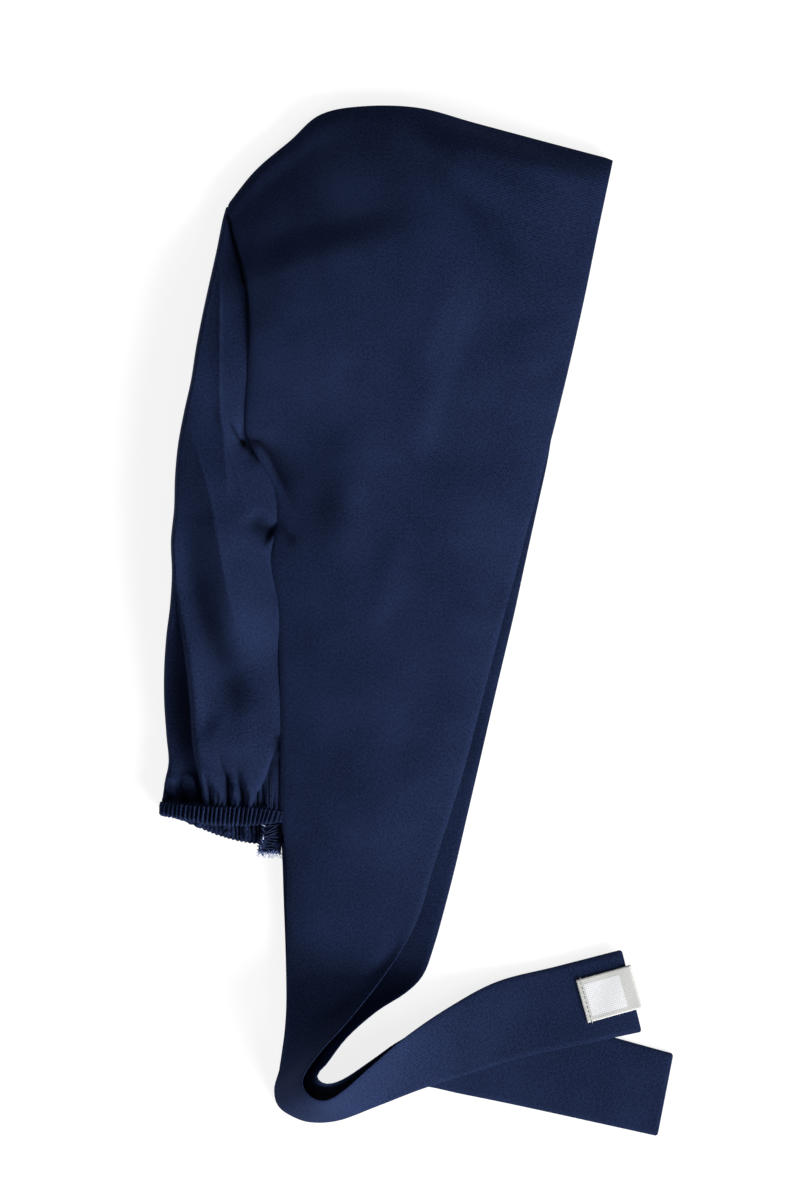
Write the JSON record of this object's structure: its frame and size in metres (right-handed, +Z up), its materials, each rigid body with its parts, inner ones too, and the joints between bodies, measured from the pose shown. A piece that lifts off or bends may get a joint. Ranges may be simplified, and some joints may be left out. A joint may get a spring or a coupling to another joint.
{
  "type": "scrub cap",
  "caption": "Tie-back surgical scrub cap lying folded flat: front panel running into long ties, pouch for the hair, gathered elastic at the nape and a plain woven label.",
  "frame": {"origin": "middle of the laid cap's outline, on the surface that it lies on", "axes": "+Z up from the surface, +Y from the ties towards the crown, +X towards the forehead edge"},
  "size_m": [0.2178, 0.4372, 0.0308],
  "materials": {
    "twill": "navy polyester and viscose twill with a soft sheen",
    "overlock_thread": "fuzzy overlocked thread",
    "woven_tape": "pale grey satin-woven label tape"
  },
  "bodies": {
    "root": {"front_panel": "twill", "back_panel": "twill", "elastic_casing": "twill", "seam_end": "overlock_thread", "label": "woven_tape"}
  },
  "joints": []
}
